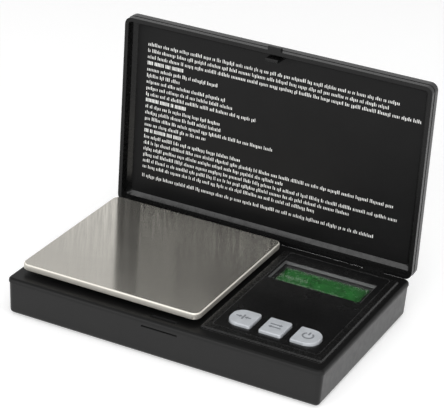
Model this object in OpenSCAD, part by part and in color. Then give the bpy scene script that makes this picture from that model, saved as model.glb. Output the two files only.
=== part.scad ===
// Flip-top pocket precision scale, with its lid standing open.
// Frame: X to the right, Y to the back, Z up, origin at the centre of the case's flat underside.

/* [Case] */
// Width of the case over the rim band
case_w = 128; // [128:0.5:150]
// Depth of the case over the rim band
case_d = 82.5; // [82.5:0.5:96]
// Height of the rim above the underside
rim_z = 14.7; // [14.7:0.1:16.5]
// Height of the rim band above the seam
band_h = 1.8; // [1.6:0.1:2.2]
// How far the rim band stands proud of the side walls
band_proud = 0.3; // [0.1:0.05:0.4]
// Corner radius of the rim band
corner_r = 2.5; // [2.5:0.1:4]
// Draft of the side walls from the seam to the underside
draft = 0.45; // [0.2:0.05:0.6]
// Rounding of the case's lower edge
foot_edge_r = 1.5; // [0.8:0.1:1.5]
// Rounding of the rim's upper edge
rim_edge_r = 1.2; // [0.8:0.05:1.3]
// Thickness of the side walls at the foot
wall_t = 1.5; // [1.3:0.1:1.8]
// Thickness of the case floor
floor_t = 1.3; // [1.1:0.1:1.3]
// Thickness of the deck
deck_t = 1.4; // [1.2:0.1:1.5]

/* [Lid] */
// How far the open lid's lower edge hangs below the rim
lid_sink = 0.7; // [0.4:0.05:0.8]
// Thickness of the lid from its rim plane to its outer face
lid_h = 6.1; // [5.9:0.1:7]
// Thickness of the lid's side walls
lid_wall_t = 1.7; // [1.3:0.1:1.7]
// Thickness of the lid's large face
lid_face_t = 1.2; // [0.9:0.1:1.2]
// Corner radius of the lid's outline
lid_r = 3; // [2.4:0.1:4]
// Rounding of the lid's outer edge
lid_edge_r = 0.8; // [0.6:0.1:1.5]
// Height of the smooth band next to the lid's rim
lip_h = 2.5; // [2:0.1:3]
// How far that band is set in from the lid's sides
lip_inset = 0.15; // [0.1:0.05:0.3]
// Width of the sloped border round the lid's inner floor
border_w = 1.9; // [1.2:0.1:2.2]
// Rise of the sloped border
border_h = 0.8; // [0.4:0.1:0.9]
// Thickness of the printed film on the lid's inner floor
label_t = 0.2; // [0.1:0.05:0.3]

/* [Hinge] */
// Distance of each hinge arm from the middle
hinge_x = 48; // [40:0.5:48]
// Width of a hinge arm
arm_w = 8; // [6:0.5:10]
// Radius of a hinge knuckle
knuckle_r = 1.8; // [1.6:0.05:1.8]
// Radius of a hinge pin
pin_r = 0.75; // [0.6:0.05:0.9]
// Depth of the hinge axis below the rim
axis_drop = 2.27; // [2.2:0.01:2.35]

/* [Latch] */
// Width of the latch hook
hook_w = 5; // [4:0.5:7]
// Thickness of the latch hook
hook_t = 1.3; // [1:0.1:1.4]
// Reach of the latch hook beyond the lid's rim plane
hook_reach = 1.8; // [1.4:0.1:2.2]
// Gap between the latch hook and its slot, front and back
hook_gap = 0.25; // [0.15:0.05:0.4]
// Width of the slot in the deck
slot_w = 10.2; // [8:0.2:12]
// Width of the thumb tab on the lid
tab_w = 5.4; // [4:0.2:8]
// Reach of the thumb tab beyond the lid
tab_reach = 1.35; // [0.8:0.05:1.6]
// Width of the thumb slit in the front of the case
slit_w = 14.5; // [10:0.5:18]
// Height of the thumb slit
slit_h = 0.65; // [0.5:0.05:0.9]
// Depth of the thumb slit
slit_depth = 1.3; // [0.8:0.1:1.3]
// Distance of the thumb slit below the seam
slit_drop = 1.15; // [0.8:0.05:2]
// Slope on the lower edge of the thumb slit
slit_lip = 0.3; // [0.2:0.05:0.4]

/* [Weighing plate] */
// Width of the plate
plate_w = 73.7; // [66:0.1:73.8]
// Depth of the plate
plate_d = 71; // [60:0.2:71]
// Height of the plate's top above the rim
plate_rise = 4.3; // [3.9:0.1:4.3]
// Height of the folded skirt
skirt_h = 2.4; // [1.8:0.1:2.6]
// Thickness of the sheet
sheet_t = 0.6; // [0.4:0.05:0.6]
// Corner radius of the plate
plate_r = 3; // [2.5:0.1:5]
// Bend radius along the plate's upper edge
bend_r = 0.7; // [0.6:0.05:0.9]
// Distance of the plate from the case's left side
plate_margin = 2.6; // [2.4:0.1:2.7]
// Thickness of the carrier under the sheet
carrier_t = 1.2; // [1:0.1:1.4]

/* [Control panel] */
// Width of the raised panel
panel_w = 47.6; // [45:0.1:48.6]
// Distance of the panel from the case's front side
panel_front = 5.25; // [5.2:0.05:8]
// Height of the panel above the rim
panel_h = 1; // [0.8:0.05:1.2]
// Bevel of the panel's edge
panel_bevel = 0.4; // [0.2:0.05:0.6]
// Distance of the panel from the case's right side
panel_margin = 2.7; // [2.5:0.1:3]
// Gap between the panel and the back wall of the shut lid
panel_gap = 0.3; // [0.2:0.05:0.6]
// Thickness of the film on the panel
overlay_t = 0.25; // [0.15:0.05:0.3]
// Depth of the display opening
window_d = 16.1; // [12:0.1:16.1]
// Distance of the display opening from the panel's left edge
window_x = 4.05; // [4:0.05:5]
// Distance of the display opening from the panel's right edge
window_side = 5.9; // [5.9:0.05:8]
// Distance of the display opening from the panel's back edge
window_y = 7.9; // [7.6:0.1:9]

/* [Keys] */
// Width of the middle key
key_mid_w = 8.7; // [7:0.1:9]
// Depth of every key
key_d = 10.9; // [9:0.1:11]
// Gap between neighbouring keys
key_space = 3.5; // [3:0.1:3.8]
// Distance of the first key from the panel's left edge
key_x = 6.3; // [6:0.1:7]
// Distance of the last key from the panel's right edge
key_side = 6.2; // [6.2:0.1:7]
// Distance of the keys from the panel's front edge
key_y = 7.05; // [6.5:0.05:8]
// Height of the key tops above the panel
key_rise = 1; // [0.8:0.1:1.4]
// Travel of a key
key_travel = 0.5; // [0.3:0.05:0.6]
// Radius of the outer keys' rounded ends
key_end_r = 4.6; // [3:0.1:4.6]
// Radius of the switch plungers under the keys
plunger_r = 1.7; // [1.4:0.05:2]

/* [Load cell] */
// Length of the beam
beam_l = 47; // [45:0.5:50]
// Width of the beam
beam_w = 9; // [8:0.5:10]
// Height of the beam
beam_h = 6; // [5.6:0.1:6.4]
// Height of the beam's underside
beam_z = 5; // [4.6:0.1:5.2]
// Sink of the plate at full load, where the beam's free end meets its stop screw
plate_travel = 0.3; // [0.1:0.05:0.5]

/* [Battery bay] */
// Radius of a cell
cell_r = 5.25; // [5.1:0.05:5.25]
// Length of a cell with its nub
cell_len = 44.5; // [43:0.5:45]
// Gap between the two cells
cell_gap = 0.4; // [0.2:0.1:0.8]
// Length of a contact spring under load
spring_len = 4.8; // [4:0.1:5]
// Thickness of the battery door
door_t = 1.2; // [1:0.1:1.2]

/* [Feet and screws] */
// Radius of a rubber foot
foot_r = 3; // [2:0.1:3]
// How far a foot stands below the underside
foot_proud = 0.6; // [0.4:0.1:1.2]
// Radius of a case screw's shank
case_screw_r = 1.05; // [0.9:0.05:1.2]

/* [Hidden] */

$fn = 48;
// Facets of the round parts inside a hull, and steps of an edge rounding
hull_fn = 32;
arc_n = 5;
// Overrun of a cut past the face that it opens
over = 0.5;
// Clearances: running fit, seated fit, and the air between rigid parts
fit_run = 0.05;
fit_seat = 0.1;
fit_air = 0.2;

// Case, derived
half_w = case_w / 2;
half_d = case_d / 2;
seam_z = rim_z - band_h;
deck_z = rim_z - deck_t;
wall_x = half_w - band_proud;
wall_y = half_d - band_proud;
cavity_x = wall_x - draft - wall_t;
cavity_y = wall_y - draft - wall_t;
cavity_r = 1.5;
lip_t = 1;
lip_z = seam_z - 1.5;
lip_x = cavity_x - 0.15;
lip_y = cavity_y - 0.15;

// Hinge and lid, derived: the open lid stands just behind the rim band and shuts flush with the front
lid_back = 0.15;
shut_gap = 0.06;
lid_y = half_d + lid_back;
axis_z = rim_z - axis_drop;
axis_y = lid_y - axis_drop - shut_gap;
lid_z0 = rim_z - lid_sink;
lid_z1 = axis_y + half_d + axis_z;
lid_len = lid_z1 - lid_z0;
lid_floor = lid_h - lid_face_t;
shut_back_y = axis_y - (lid_z0 - axis_z) - lid_wall_t;
pocket_wall = 1;
pocket_side = 2;
pocket_floor = 0.9;
pin_len = arm_w + 2 * pocket_side;
pocket_x = arm_w / 2 + fit_air;
pocket_y0 = axis_y - knuckle_r - fit_air;
pocket_z0 = axis_z - knuckle_r - fit_air;
lug_len = 2.5;

// Latch, derived: the slot is set from where the hook comes down
hook_y0 = -wall_y + 2.65;
hook_z1 = axis_y + axis_z - hook_y0;
slot_y0 = hook_y0 - hook_gap;
slot_y1 = hook_y0 + hook_t + hook_gap;

// Weighing plate, derived
plate_x0 = -half_w + plate_margin;
plate_cx = plate_x0 + plate_w / 2;
plate_z = rim_z + plate_rise;
carrier_z1 = plate_z - sheet_t - fit_run;
carrier_z0 = carrier_z1 - carrier_t;
carrier_gap = 1.2;

// Control panel, derived
panel_x1 = half_w - panel_margin;
panel_x0 = panel_x1 - panel_w;
panel_y1 = shut_back_y - panel_gap;
panel_y0 = -half_d + panel_front;
panel_d = panel_y1 - panel_y0;
panel_z = rim_z + panel_h;
panel_under = rim_z - 0.5;
panel_brim = 1.9;
window_x0 = panel_x0 + window_x;
window_x1 = panel_x1 - window_side;
window_w = window_x1 - window_x0;
window_y1 = panel_y1 - window_y;
window_y0 = window_y1 - window_d;
overlay_edge = 3.2;
overlay_window_gap = 0.3;
overlay_key_gap = 0.45;

// Display stack, derived from the panel's underside downwards
lens_t = 0.8;
lens_lap = 1.2;
glass_t = 1.7;
glass_z1 = panel_under - lens_t - fit_seat;
glass_z0 = glass_z1 - glass_t;
glass_ledge = 2.2;
board_drop = 5.6;
board_t = 1;
board_z1 = rim_z - board_drop;
board_z0 = board_z1 - board_t;
board_edge = 1.3;
holder_t = 0.6;
wire_r = 0.4;
wire_z = board_z0 - wire_r;

// Keys, derived: centre and width of each key from left to right
key_w = (panel_w - key_x - key_side - key_mid_w) / 2 - key_space;
key_widths = [key_w, key_mid_w, key_w];
key_ends = [-1, 0, 1];
key_x0 = panel_x0 + key_x;
key_cx = [
    key_x0 + key_w / 2,
    key_x0 + key_w + key_space + key_mid_w / 2,
    key_x0 + key_w + key_mid_w + 2 * key_space + key_w / 2
];
key_cy = panel_y0 + key_y + key_d / 2;
key_z = panel_z + key_rise;
key_corner = 0.8;
key_gap = 0.25;
key_flange = 0.9;
flange_z1 = panel_under - fit_seat;
flange_t = 0.8;
switch_side = 6;
switch_h = 3.2;
plunger_z0 = board_z1 + switch_h - 0.5;

// Load cell, derived: the fixed end is on the right, the free end on the left
beam_x0 = plate_cx - beam_l / 2;
beam_x1 = plate_cx + beam_l / 2;
beam_z1 = beam_z + beam_h;
beam_hole_in = 3.5;
beam_hole_pitch = 6;
beam_hole_r = 1.5;
beam_screw_l = 7.5;
beam_screw_reach = 4.5;
flex_x = 4.5;
beam_boss_l = 12;
column_l = 12;

// Battery bay, derived: two cells side by side, in front of the load cell
contact_t = 0.3;
cell_lift = 0.3;
cell_z = door_t + cell_lift + cell_r;
bay_x0 = -cavity_x + 3.55;
bay_x1 = bay_x0 + cell_len + 2 * contact_t + spring_len + 0.1;
bay_y0 = -cavity_y + 8.1;
bay_y1 = bay_y0 + 4 * cell_r + cell_gap + 2 * cell_lift;
bay_z1 = cell_z + cell_r + 0.15;
bay_wall = 1;
roof_t = 0.8;
door_lap = 0.7;
cell_y = [bay_y0 + cell_lift + cell_r, bay_y1 - cell_lift - cell_r];
nose_r = door_t / 2;
door_x = bay_x0 - door_lap + fit_air + nose_r;
door_tab_w = 1.6;
door_tab_y = [bay_y0 + 0.3, bay_y1 - 0.3 - door_tab_w];
tail_t = 0.4;
tail_w = 1.8;
tail_x = bay_x1 + door_lap + bay_wall + 0.6;
contact_z0 = 3.5;
contact_h = 7.6;
contact_side = 3.2;

// Feet and case screws, derived
foot_in = 12;
foot_x = half_w - foot_in;
foot_y = cavity_y - foot_r - 0.4;
foot_sink = 0.6;
screw_in_x = 5.5;
screw_in_y = 5.25;
screw_x = half_w - screw_in_x;
screw_y = half_d - screw_in_y;
screw_head_r = 2.1;
screw_head_h = 1.2;
pad_z = 3;
pad_r = 3;
boss_r = 2.5;

// Rounded rectangle about the origin, with true arcs
module rounded_rect(w, d, r) {
    square([w - 2 * r, d], center = true);
    square([w, d - 2 * r], center = true);
    for (x = [-1, 1], y = [-1, 1])
        translate([x * (w / 2 - r), y * (d / 2 - r)])
            circle(r);
}

// Prism on a rounded rectangle, from one height to another
module rounded_prism(w, d, r, z0, z1) {
    translate([0, 0, z0])
        linear_extrude(z1 - z0)
            rounded_rect(w, d, r);
}

// Box between two corners
module span(a, b) {
    translate(a)
        cube(b - a);
}

// Rounded block: a profile of radius over height, turned at each of four corners
module corner_block(w, d, r, profile) {
    hull()
        for (x = [-1, 1], y = [-1, 1])
            translate([x * (w / 2 - r), y * (d / 2 - r), 0])
                rotate_extrude($fn = hull_fn)
                    polygon(profile);
}

// Points of an arc about a centre
function arc(c, r, a0, a1) =
    [for (i = [0:arc_n]) let (a = a0 + (a1 - a0) * i / arc_n) c + r * [cos(a), sin(a)]];

// Extrude an outline drawn as (y, z) along X
module along_x(x0, x1) {
    translate([x0, 0, 0])
        rotate([90, 0, 90])
            linear_extrude(x1 - x0)
                children();
}

// Extrude an outline drawn as (x, z) along Y
module along_y(y0, y1) {
    translate([0, y1, 0])
        rotate([90, 0, 0])
            linear_extrude(y1 - y0)
                children();
}

// Tray frame of the lid: rim plane at z = 0, open side up, hinged edge at y = 0, set upright
module lid_frame() {
    translate([0, lid_y, lid_z0])
        rotate([90, 0, 0])
            children();
}

// Screw with its head below and its thread up, from z = 0 at the head's lower face
module pan_screw(head_r, head_h, shank_r, shank_l) {
    recess_w = head_r * 0.28;
    difference() {
        union() {
            cylinder(h = head_h, r = head_r);
            cylinder(h = head_h + shank_l, r = shank_r);
        }
        for (a = [0, 90])
            rotate([0, 0, a])
                translate([-head_r * 0.6, -recess_w / 2, -over])
                    cube([head_r * 1.2, recess_w, over + head_h * 0.5]);
    }
}

module at_case_screws() {
    for (x = [-screw_x, screw_x], y = [-screw_y, screw_y])
        translate([x, y, 0])
            children();
}

module at_feet() {
    for (x = [-foot_x, foot_x], y = [-foot_y, foot_y])
        translate([x, y, 0])
            children();
}

module at_hinges() {
    for (x = [-hinge_x, hinge_x])
        translate([x, 0, 0])
            children();
}

module at_hinge_axis() {
    translate([0, axis_y, axis_z])
        rotate([0, 90, 0])
            children();
}

// Places of the board screws, clear of the case screws' bosses
board_screw_x = [panel_x0 + 4, panel_x1 - 6.8];
board_screw_y = [-screw_y + 4, screw_y - 4];
board_screw_r = 0.8;
board_screw_head_r = 1.5;
board_screw_head_h = 1.1;
board_screw_reach = 3.4;
board_boss_r = 1.8;

module at_board_screws() {
    for (x = board_screw_x, y = board_screw_y)
        translate([x, y, 0])
            children();
}

module bottom_case() {
    foot_side_r = corner_r - band_proud - draft;
    profile = concat(
        [[0, 0]],
        arc([foot_side_r - foot_edge_r, foot_edge_r], foot_edge_r, -90, 0),
        [[corner_r - band_proud, seam_z], [0, seam_z]]
    );
    color([0.2, 0.2, 0.2])
        difference() {
            union() {
                difference() {
                    corner_block(case_w, case_d, corner_r, profile);
                    rounded_prism(2 * cavity_x, 2 * cavity_y, cavity_r, floor_t, seam_z + over);
                }
                beam_boss();
                at_case_screws()
                    translate([0, 0, floor_t - 0.1])
                        cylinder(h = pad_z - floor_t + 0.1, r = pad_r);
                translate([beam_x0 + beam_hole_in, 0, floor_t - 0.1])
                    cylinder(h = 1.4, r = 3);
                bay_block();
            }
            bay_cuts();
            at_case_screws() {
                translate([0, 0, -over])
                    cylinder(h = over + screw_head_h + fit_air, r = screw_head_r + fit_air);
                translate([0, 0, -over])
                    cylinder(h = over + pad_z + over, r = case_screw_r + fit_seat);
            }
            at_feet()
                translate([0, 0, -over])
                    cylinder(h = over + foot_sink, r = foot_r + fit_run);
            for (i = [0, 1])
                translate([beam_x1 - beam_hole_in - i * beam_hole_pitch, 0, -over]) {
                    cylinder(h = over + beam_screw_head_h + fit_air, r = beam_screw_head_r + fit_air);
                    cylinder(h = over + beam_z + over, r = beam_hole_r + fit_seat);
                }
            translate([beam_x0 + beam_hole_in, 0, -over])
                cylinder(h = beam_z, r = stop_screw_r + fit_run);
            at_hinges()
                span(
                    [-pin_len / 2 - 0.15, cavity_y - over, pocket_z0 - pocket_floor - 0.15],
                    [pin_len / 2 + 0.15, half_d, seam_z + over]
                );
            thumb_slit();
        }
}

beam_screw_head_r = 2.6;
beam_screw_head_h = 2;
stop_screw_r = 1;

module beam_boss() {
    span([beam_x1 - beam_boss_l, -beam_w / 2 - 0.5, floor_t - 0.1], [beam_x1, beam_w / 2 + 0.5, beam_z]);
}

module bay_block() {
    out = door_lap + bay_wall;
    span([bay_x0 - out, bay_y0 - out, floor_t - 0.1], [bay_x1 + out, bay_y1 + out, bay_z1 + roof_t]);
}

module bay_cuts() {
    lap = door_lap;
    span([bay_x0, bay_y0, -over], [bay_x1, bay_y1, bay_z1]);
    span([bay_x0 - lap, bay_y0 - lap, -over], [bay_x1 + lap, bay_y1 + lap, door_t + fit_air]);
    for (y = door_tab_y)
        span(
            [bay_x0 - lap - bay_wall - over, y - 0.15, floor_t],
            [bay_x0 + 0.1, y + door_tab_w + 0.15, nose_r + 2.75]
        );
    for (y = cell_y)
        span(
            [bay_x1 - over, y - tail_w / 2 - fit_seat, wire_z - tail_t / 2 - fit_seat],
            [tail_x + over, y + tail_w / 2 + fit_seat, wire_z + tail_t / 2 + fit_seat]
        );
}

// Slit for a thumbnail below the rim band, with a sloped lower edge
module thumb_slit() {
    top = seam_z - slit_drop;
    bottom = top - slit_h;
    low = bottom - slit_lip;
    front_y = -wall_y + draft * (seam_z - low) / seam_z;
    along_x(-slit_w / 2, slit_w / 2)
        polygon([
            [-half_d - 1, low],
            [front_y, low],
            [front_y + slit_lip, bottom],
            [-wall_y + slit_depth, bottom],
            [-wall_y + slit_depth, top],
            [-half_d - 1, top]
        ]);
}

module top_deck() {
    profile = concat(
        [[0, seam_z], [corner_r, seam_z]],
        arc([corner_r - rim_edge_r, rim_z - rim_edge_r], rim_edge_r, 0, 90),
        [[0, rim_z]]
    );
    color([0.22, 0.22, 0.23])
        difference() {
            union() {
                difference() {
                    union() {
                        corner_block(case_w, case_d, corner_r, profile);
                        rounded_prism(2 * lip_x, 2 * lip_y, cavity_r, lip_z, seam_z + 0.1);
                    }
                    rounded_prism(2 * (lip_x - lip_t), 2 * (lip_y - lip_t), 0.6, lip_z - over, deck_z);
                }
                at_case_screws()
                    translate([0, 0, pad_z])
                        cylinder(h = deck_z - pad_z + 0.1, r = boss_r);
                at_hinges()
                    span(
                        [-pin_len / 2, pocket_y0 - pocket_wall, pocket_z0 - pocket_floor],
                        [pin_len / 2, wall_y - fit_seat, seam_z + 0.1]
                    );
            }
            at_hinges() {
                span([-pocket_x, pocket_y0, pocket_z0], [pocket_x, half_d + over, rim_z + over]);
                at_hinge_axis()
                    cylinder(h = pin_len + 2 * over, r = pin_r + 0.02, center = true);
            }
            at_case_screws()
                translate([0, 0, pad_z - over])
                    cylinder(h = over + screw_grip + 1, r = case_screw_r + fit_run);
            span([-slot_w / 2, slot_y0, lip_z - over], [slot_w / 2, slot_y1, rim_z + over]);
            span(
                [panel_x0 + panel_brim, panel_y0 + panel_brim, deck_z - over],
                [panel_x1 - panel_brim, panel_y1 - panel_brim, rim_z + over]
            );
            span(
                [column_x0 - carrier_gap, -beam_w / 2 - carrier_gap, deck_z - over],
                [column_x0 + column_l + carrier_gap, beam_w / 2 + carrier_gap, rim_z + over]
            );
        }
}

screw_grip = 7;
column_x0 = beam_x0 + beam_hole_in + beam_hole_pitch / 2 - column_l / 2;

module lid() {
    band = lip_h;
    profile = concat(
        [[0, -band], [0, -lid_h]],
        arc([lid_r - lid_edge_r, -lid_h + lid_edge_r], lid_edge_r, -90, 0),
        [[lid_r, -band]]
    );
    in_w = case_w - 2 * lid_wall_t;
    in_d = lid_len - 2 * lid_wall_t;
    in_r = max(lid_r - lid_wall_t, 0.4);
    color([0.14, 0.14, 0.15]) {
        lid_frame()
            difference() {
                translate([0, lid_len / 2, 0])
                    union() {
                        corner_block(case_w, lid_len, lid_r, profile);
                        rounded_prism(
                            case_w - 2 * lip_inset, lid_len - 2 * lip_inset, lid_r - lip_inset, -band - 0.1, 0
                        );
                    }
                translate([0, lid_len / 2, 0]) {
                    rounded_prism(in_w, in_d, in_r, -lid_floor + border_h, over);
                    hull() {
                        rounded_prism(in_w, in_d, in_r, -lid_floor + border_h, -lid_floor + border_h + 0.1);
                        rounded_prism(
                            in_w - 2 * border_w, in_d - 2 * border_w, in_r, -lid_floor, -lid_floor + 0.05
                        );
                    }
                }
            }
        lid_frame() {
            latch_hook();
            thumb_tab();
        }
        at_hinges()
            hinge_arm();
    }
}

// Hook on the lid's inner floor, with its tip chamfered towards the slot
module latch_hook() {
    y1 = hook_z1 - lid_z0;
    y0 = y1 - hook_t;
    tip = hook_reach;
    along_x(-hook_w / 2, hook_w / 2)
        polygon([
            [y0, -lid_floor - 0.2],
            [y1, -lid_floor - 0.2],
            [y1, tip - 0.4],
            [y1 - 0.3, tip],
            [y0 + 0.3, tip],
            [y0, tip - 0.4]
        ]);
}

module thumb_tab() {
    y0 = lid_len - lip_inset - 0.3;
    y1 = lid_len + tab_reach;
    along_x(-tab_w / 2, tab_w / 2)
        polygon([[y0, -1.8], [y1 - 0.5, -1.8], [y1, -1.3], [y1, -0.3], [y1 - 0.3, 0], [y0, 0]]);
}

// Arm from the lid's rim face over the back of the case to its knuckle
module hinge_arm() {
    difference() {
        along_x(-arm_w / 2, arm_w / 2) {
            translate([axis_y, axis_z])
                circle(knuckle_r);
            polygon([
                [axis_y, axis_z + knuckle_r],
                [axis_y, axis_z - knuckle_r],
                [axis_y + knuckle_r, axis_z - knuckle_r],
                [lid_y + lug_len, lid_z0 - knuckle_r],
                [lid_y + lug_len, axis_z + knuckle_r]
            ]);
        }
        at_hinge_axis()
            cylinder(h = arm_w + 2 * over, r = pin_r + fit_run, center = true);
    }
}

module lid_label() {
    edge = border_w + 0.3;
    in_w = case_w - 2 * lid_wall_t - 2 * edge;
    in_d = lid_len - 2 * lid_wall_t - 2 * edge;
    hook_low = hook_z1 - hook_t - lid_z0 - 0.3;
    color([0.1, 0.1, 0.11])
        lid_frame()
            difference() {
                translate([0, lid_len / 2, 0])
                    rounded_prism(in_w, in_d, 1, -lid_floor, -lid_floor + label_t);
                span(
                    [-hook_w / 2 - 0.3, hook_low, -lid_floor - over],
                    [hook_w / 2 + 0.3, lid_len, -lid_floor + label_t + over]
                );
            }
}

module hinge_pins() {
    color("silver")
        at_hinges()
            at_hinge_axis()
                cylinder(h = pin_len, r = pin_r, center = true);
}

// Outline of a key cap about its centre: end is -1 or 1 where that end is rounded, 0 for neither
module key_outline(w, end, grow) {
    d = key_d + 2 * grow;
    full_w = w + 2 * grow;
    if (end == 0)
        rounded_rect(full_w, d, key_corner + grow);
    else
        intersection() {
            rounded_rect(full_w, d, key_corner + grow);
            translate([-end * key_end_r, 0])
                rounded_rect(full_w + 2 * key_end_r, d, key_end_r + grow);
        }
}

// Fascia: brim on the deck, plate let into the deck's opening, openings, bosses for the board
module control_panel() {
    cx = (panel_x0 + panel_x1) / 2;
    cy = (panel_y0 + panel_y1) / 2;
    plug = panel_brim + 0.15;
    brim_low = panel_h - panel_bevel;
    color([0.11, 0.11, 0.12])
        difference() {
            union() {
                translate([cx, cy, 0])
                    rounded_prism(panel_w, panel_d, 0.8, rim_z, rim_z + brim_low);
                translate([cx, cy, 0])
                    hull() {
                        rounded_prism(panel_w, panel_d, 0.8, rim_z + brim_low - 0.1, rim_z + brim_low);
                        rounded_prism(
                            panel_w - 2 * panel_bevel, panel_d - 2 * panel_bevel, 0.6, panel_z - 0.05, panel_z
                        );
                    }
                span(
                    [panel_x0 + plug, panel_y0 + plug, panel_under],
                    [panel_x1 - plug, panel_y1 - plug, rim_z + 0.1]
                );
                at_board_screws()
                    translate([0, 0, board_z1])
                        cylinder(h = panel_under - board_z1 + 0.1, r = board_boss_r);
            }
            translate([0, 0, panel_z - overlay_t])
                linear_extrude(overlay_t + over)
                    overlay_outline(0.1);
            span([window_x0, window_y0, panel_under - over], [window_x1, window_y1, panel_z + over]);
            for (i = [0:2])
                translate([key_cx[i], key_cy, panel_under - over])
                    linear_extrude(panel_z - panel_under + 2 * over)
                        key_outline(key_widths[i], key_ends[i], key_gap);
            at_board_screws()
                translate([0, 0, board_z1 - over])
                    cylinder(h = over + board_screw_reach + 0.8, r = board_screw_r + fit_run);
        }
}

module overlay_outline(grow) {
    x0 = panel_x0 + overlay_edge;
    x1 = panel_x1 - overlay_edge;
    y0 = panel_y0 + overlay_edge + 0.6;
    y1 = panel_y1 - overlay_edge / 3;
    translate([(x0 + x1) / 2, (y0 + y1) / 2])
        rounded_rect(x1 - x0 + 2 * grow, y1 - y0 + 2 * grow, 1 + grow);
}

module panel_overlay() {
    color([0.13, 0.13, 0.14])
        translate([0, 0, panel_z - overlay_t])
            linear_extrude(overlay_t)
                difference() {
                    overlay_outline(0);
                    translate([window_x0 - overlay_window_gap, window_y0 - overlay_window_gap])
                        square([window_w + 2 * overlay_window_gap, window_d + 2 * overlay_window_gap]);
                    for (i = [0:2])
                        translate([key_cx[i], key_cy])
                            key_outline(key_widths[i], key_ends[i], overlay_key_gap);
                }
}

module lcd_window() {
    color([0.75, 0.8, 0.78, 0.5])
        span(
            [window_x0 - lens_lap, window_y0 - lens_lap, panel_under - lens_t],
            [window_x1 + lens_lap, window_y1 + lens_lap, panel_under]
        );
}

// Two panes: the upper one stands out over the contact ledge at the front
module lcd_glass() {
    pane = glass_t / 2;
    color([0.2, 0.45, 0.25]) {
        span(
            [window_x0 - lens_lap, window_y0 - lens_lap, glass_z0],
            [window_x1 + lens_lap, window_y1 + lens_lap, glass_z0 + pane]
        );
        span(
            [window_x0 - lens_lap, window_y0 - lens_lap - glass_ledge, glass_z0 + pane],
            [window_x1 + lens_lap, window_y1 + lens_lap, glass_z1]
        );
    }
}

module backlight() {
    color([0.9, 0.92, 0.85])
        span(
            [window_x0 - lens_lap, window_y0 - lens_lap + 0.4, board_z1 + holder_t],
            [window_x1 + lens_lap, window_y1 + lens_lap, glass_z0 - fit_run]
        );
}

// Tray round the display, open at the front for the contact strip
module lcd_holder() {
    lap = lens_lap + fit_run;
    front = window_y0 - lens_lap - glass_ledge;
    color([0.85, 0.85, 0.82])
        difference() {
            span(
                [window_x0 - lap - holder_t, front - fit_run - holder_t, board_z1],
                [window_x1 + lap + holder_t, window_y1 + lap + holder_t, glass_z1]
            );
            span(
                [window_x0 - lap, front - fit_run, board_z1 + holder_t],
                [window_x1 + lap, window_y1 + lap, glass_z1 + over]
            );
            span(
                [window_x0 - lens_lap, front + strip_in - fit_air, board_z1 - over],
                [window_x1 + lens_lap, front + strip_in + strip_w + fit_air, board_z1 + holder_t + over]
            );
        }
}

strip_in = 0.3;
strip_w = 1.6;

module elastomer_strip() {
    front = window_y0 - lens_lap - glass_ledge;
    color([0.9, 0.6, 0.7])
        span(
            [window_x0 - lens_lap + 0.3, front + strip_in, board_z1],
            [window_x1 + lens_lap - 0.3, front + strip_in + strip_w, glass_z0 + glass_t / 2 - fit_run]
        );
}

module circuit_board() {
    half_y = screw_y - 1.8;
    color([0.05, 0.35, 0.15])
        difference() {
            span([panel_x0 + board_edge, -half_y, board_z0], [panel_x1 - board_edge, half_y, board_z1]);
            at_case_screws()
                translate([0, 0, board_z0 - over])
                    cylinder(h = board_t + 2 * over, r = boss_r + 0.6);
            at_board_screws()
                translate([0, 0, board_z0 - over])
                    cylinder(h = board_t + 2 * over, r = board_screw_r + fit_seat);
        }
}

module board_screws() {
    color("silver")
        at_board_screws()
            translate([0, 0, board_z0 - board_screw_head_h])
                pan_screw(board_screw_head_r, board_screw_head_h, board_screw_r, board_t + board_screw_reach);
}

// Parts under the board: their sizes, and their distances from the panel's left edge
controller_y = 12;
controller_w = 10;
controller_d = 7.5;
leg_pitch = 0.8;
converter_in = 13;
converter_y = -4;
converter_w = 6;
converter_d = 4;
crystal_in = 33;

// Chip with two rows of legs, hung under the board
module chip(w, d, h, legs, pitch) {
    difference() {
        translate([-w / 2, -d / 2, board_z0 - h])
            cube([w, d, h - 0.15]);
        translate([-w / 2 + 1, d / 2 - 1, board_z0 - h - over])
            cylinder(h = over + 0.15, r = 0.4);
    }
    for (side = [-1, 1], i = [0:legs - 1])
        translate([(i - (legs - 1) / 2) * pitch - 0.15, side * (d / 2 + 0.4) - 0.5, board_z0 - h * 0.5])
            cube([0.3, 1, h * 0.5]);
}

module microcontroller() {
    color([0.12, 0.12, 0.12])
        translate([panel_x0 + panel_w / 2, controller_y, 0])
            chip(controller_w, controller_d, 1.7, 12, leg_pitch);
}

module converter_chip() {
    color([0.12, 0.12, 0.12])
        translate([panel_x0 + converter_in, converter_y, 0])
            chip(converter_w, converter_d, 1.5, 7, leg_pitch);
}

module crystal() {
    can_r = 1.5;
    can_l = 6;
    color("silver")
        translate([panel_x0 + crystal_in, 0, board_z0 - can_r])
            rotate([90, 0, 0])
                cylinder(h = can_l, r = can_r, center = true);
}

// Cap, softened top edge and flange of one key
module key(i) {
    cap_top = 0.35;
    translate([key_cx[i], key_cy, 0]) {
        translate([0, 0, flange_z1 - 0.1])
            linear_extrude(key_z - cap_top - flange_z1 + 0.1)
                key_outline(key_widths[i], key_ends[i], 0);
        hull() {
            translate([0, 0, key_z - cap_top - 0.1])
                linear_extrude(0.1)
                    key_outline(key_widths[i], key_ends[i], 0);
            translate([0, 0, key_z - 0.05])
                linear_extrude(0.05)
                    key_outline(key_widths[i], key_ends[i], -cap_top * 0.7);
        }
        translate([0, 0, flange_z1 - flange_t])
            linear_extrude(flange_t)
                key_outline(key_widths[i], key_ends[i], key_flange);
    }
}

module key_tare() {
    color([0.75, 0.77, 0.79])
        key(0);
}

module key_mode() {
    color([0.75, 0.77, 0.79])
        key(1);
}

module key_power() {
    color([0.75, 0.77, 0.79])
        key(2);
}

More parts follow.
